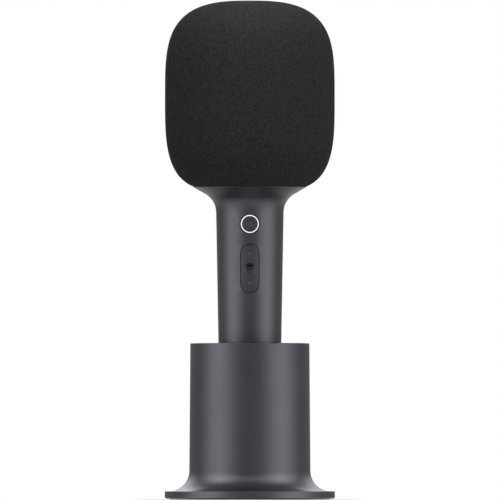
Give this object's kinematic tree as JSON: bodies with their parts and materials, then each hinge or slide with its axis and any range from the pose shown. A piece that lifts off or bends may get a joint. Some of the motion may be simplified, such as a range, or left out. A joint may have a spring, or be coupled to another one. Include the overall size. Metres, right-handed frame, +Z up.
{
  "type": "karaoke microphone with dock",
  "caption": "Cordless karaoke microphone with a round knit-covered speaker head, a lit power key and a volume rocker, standing in a weighted cylindrical dock.",
  "frame": {"origin": "middle of the dock's foot, on the surface that it stands on", "axes": "+Z up along the microphone's axis, the keys face -Y, +X is to the right of someone facing the keys"},
  "size_m": [0.0882, 0.0882, 0.2585],
  "materials": {
    "knit": "fine black knit",
    "handle_metal": "satin dark grey metallic",
    "dock_paint": "satin dark grey metallic paint",
    "key_metal": "satin dark grey metallic paint",
    "gloss_black": "polished black",
    "light_guide": "translucent white, lit",
    "cage_plastic": "moulded black",
    "foam": "open-cell foam",
    "capsule_metal": "satin",
    "silicone": "matte",
    "foot_rubber": "matte",
    "housing_plastic": "moulded black",
    "frame_plastic": "moulded dark grey",
    "screw_steel": "zinc plated",
    "switch_metal": "bright",
    "board": "green solder mask",
    "chip": "moulded black",
    "connector_plastic": "natural",
    "cell": "shrink-wrapped",
    "nickel": "bright",
    "wire": "insulated",
    "basket_steel": "black paint",
    "magnet": "ferrite and plated steel",
    "cone_paper": "pressed paper",
    "spider_cloth": "treated cloth",
    "soft_cup": "soft touch",
    "ballast_steel": "plain"
  },
  "bodies": {
    "dock": {"dock_ballast": "ballast_steel", "dock_ballast_screws": "screw_steel", "dock_base_plate": "frame_plastic", "dock_base_screws": "screw_steel", "dock_foot_pad": "foot_rubber", "dock_liner": "soft_cup", "dock_rest_pad": "silicone", "dock_shell": "dock_paint"},
    "microphone": {"audio_processor": "chip", "battery_cell": "cell", "battery_lead": "wire", "battery_tab": "nickel", "board_connectors": "connector_plastic", "board_screws": "screw_steel", "bottom_cap": "frame_plastic", "bottom_screws": "screw_steel", "button_frame": "frame_plastic", "cage_lower": "cage_plastic", "cage_upper": "cage_plastic", "capsule_lead": "wire", "capsule_mount": "silicone", "charge_board": "board", "charge_lead": "wire", "charge_socket": "nickel", "chassis": "frame_plastic", "fabric_cover": "knit", "handle_shell": "handle_metal", "head_base": "frame_plastic", "head_base_screws": "screw_steel", "housing_screws": "screw_steel", "led_emitters": "light_guide", "led_ring": "light_guide", "left_speaker_frame": "basket_steel", "left_speaker_magnet": "magnet", "left_speaker_spider": "spider_cloth", "left_speaker_surround": "silicone", "main_board": "board", "mic_capsule": "capsule_metal", "mode_key_pad": "silicone", "power_amplifier": "chip", "power_key_pad": "silicone", "radio_module": "chip", "right_speaker_frame": "basket_steel", "right_speaker_magnet": "magnet", "right_speaker_spider": "spider_cloth", "right_speaker_surround": "silicone", "speaker_housing": "housing_plastic", "speaker_leads": "wire", "speaker_screws": "screw_steel", "tact_switches": "switch_metal", "volume_key_pads": "silicone", "windscreen_foam": "foam"},
    "power_button": {"power_button": "key_metal"},
    "volume_rocker": {"volume_rocker": "key_metal"},
    "mode_button": {"mode_button": "gloss_black"},
    "left_cone": {"left_speaker_cone": "cone_paper"},
    "right_cone": {"right_speaker_cone": "cone_paper"}
  },
  "joints": [
    {"name": "mic_lift", "type": "slide", "parent": "dock", "child": "microphone", "axis": [0, 0, 1], "range_m": [0, 0.075]},
    {"name": "power_press", "type": "slide", "parent": "microphone", "child": "power_button", "axis": [0, 1, 0], "range_m": [0, 0.0003], "stiffness_N_per_m": 1500, "deforming": ["power_key_pad"]},
    {"name": "rocker_tilt", "type": "hinge", "parent": "microphone", "child": "volume_rocker", "pos_m": [0, -0.0129, 0.1196], "axis": [1, 0, 0], "range_deg": [-1.5, 1.5], "stiffness_Nm_per_rad": 0.3, "deforming": ["volume_key_pads"]},
    {"name": "mode_press", "type": "slide", "parent": "microphone", "child": "mode_button", "axis": [0, 1, 0], "range_m": [0, 0.0003], "stiffness_N_per_m": 1500, "deforming": ["mode_key_pad"]},
    {"name": "left_cone_travel", "type": "slide", "parent": "microphone", "child": "left_cone", "axis": [-1, 0, 0], "range_m": [-0.0008, 0.0008], "stiffness_N_per_m": 1200, "deforming": ["left_speaker_surround", "left_speaker_spider"]},
    {"name": "right_cone_travel", "type": "slide", "parent": "microphone", "child": "right_cone", "axis": [1, 0, 0], "range_m": [-0.0008, 0.0008], "stiffness_N_per_m": 1200, "deforming": ["right_speaker_surround", "right_speaker_spider"]}
  ]
}
